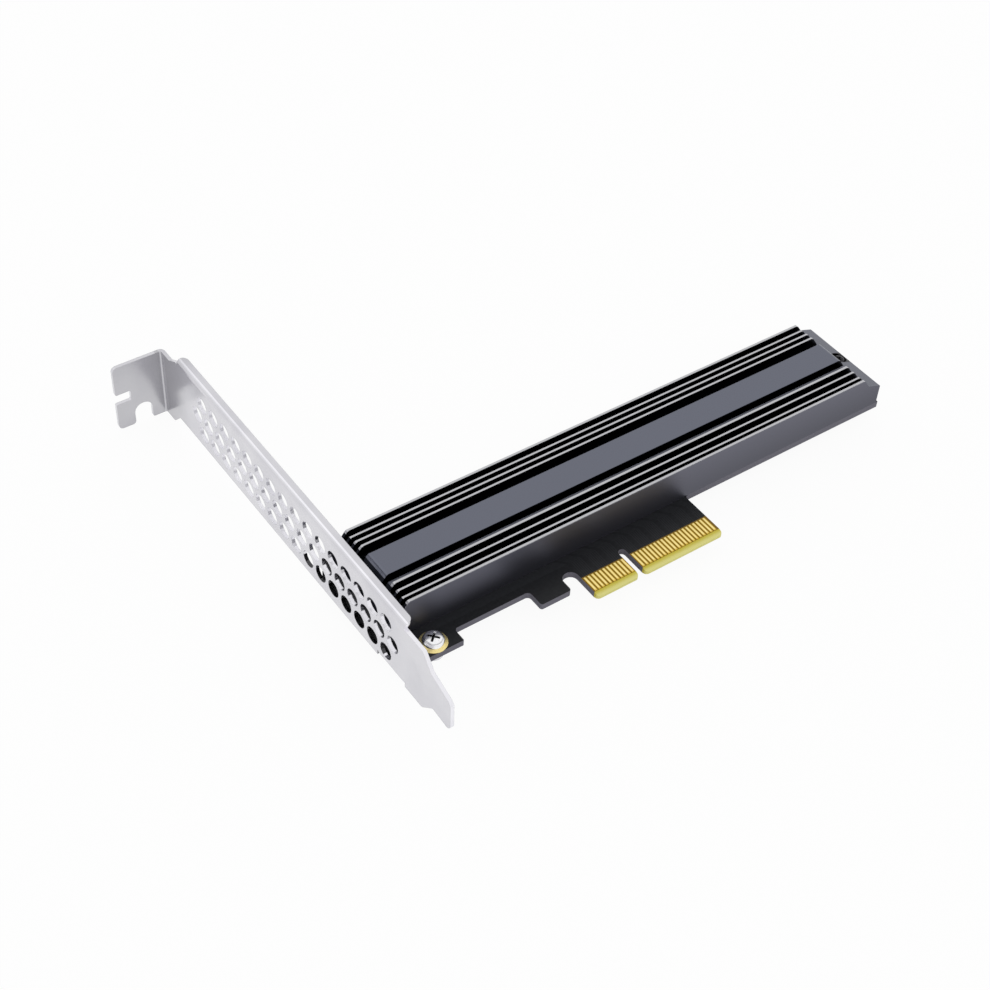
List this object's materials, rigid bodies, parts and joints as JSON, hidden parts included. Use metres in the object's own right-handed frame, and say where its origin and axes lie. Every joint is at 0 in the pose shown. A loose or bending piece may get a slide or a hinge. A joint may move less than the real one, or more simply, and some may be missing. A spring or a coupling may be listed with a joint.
{
  "type": "nvme adapter card",
  "caption": "Expansion card adapter for one long solid state drive, with a finned metal cover over the drive bay and a perforated full height bracket.",
  "frame": {"origin": "centre line of the key notch in the edge connector, on the contact edge, at the board's component face", "axes": "+X along the card away from the bracket, +Y away from the contact edge towards the bracket's tab, +Z out of the component side"},
  "size_m": [0.1531, 0.1192, 0.0216],
  "materials": {
    "plated_steel": "satin plated sheet",
    "solder_mask": "satin black solder mask",
    "nickel_screw": "bright nickel",
    "gold_plate": "polished gold plate",
    "anodised_aluminium": "dark satin anodising",
    "black_screw": "black plated steel",
    "silicone_pad": "matte soft silicone",
    "black_moulding": "matte moulding",
    "tinned_metal": "tinned",
    "capacitor_moulding": "matte moulding",
    "capacitor_ceramic": "fired ceramic",
    "resistor_body": "glazed ceramic"
  },
  "bodies": {
    "root": {"bracket": "plated_steel", "circuit_board": "solder_mask", "bracket_screw": "nickel_screw", "screw_ring": "gold_plate", "front_contacts": "gold_plate", "back_contacts": "gold_plate", "heatsink_cover": "anodised_aluminium", "cover_screws": "black_screw", "cover_nuts": "nickel_screw", "thermal_pad": "silicone_pad", "socket_housing": "black_moulding", "socket_pins": "gold_plate", "socket_anchors": "tinned_metal", "drive_standoff": "nickel_screw", "drive_screw": "nickel_screw", "position_rings": "gold_plate", "bulk_capacitors": "capacitor_moulding", "bulk_capacitor_ends": "tinned_metal", "filter_capacitors": "capacitor_ceramic", "filter_capacitor_ends": "tinned_metal", "pull_up_resistors": "resistor_body", "pull_up_resistor_ends": "tinned_metal"}
  },
  "joints": []
}
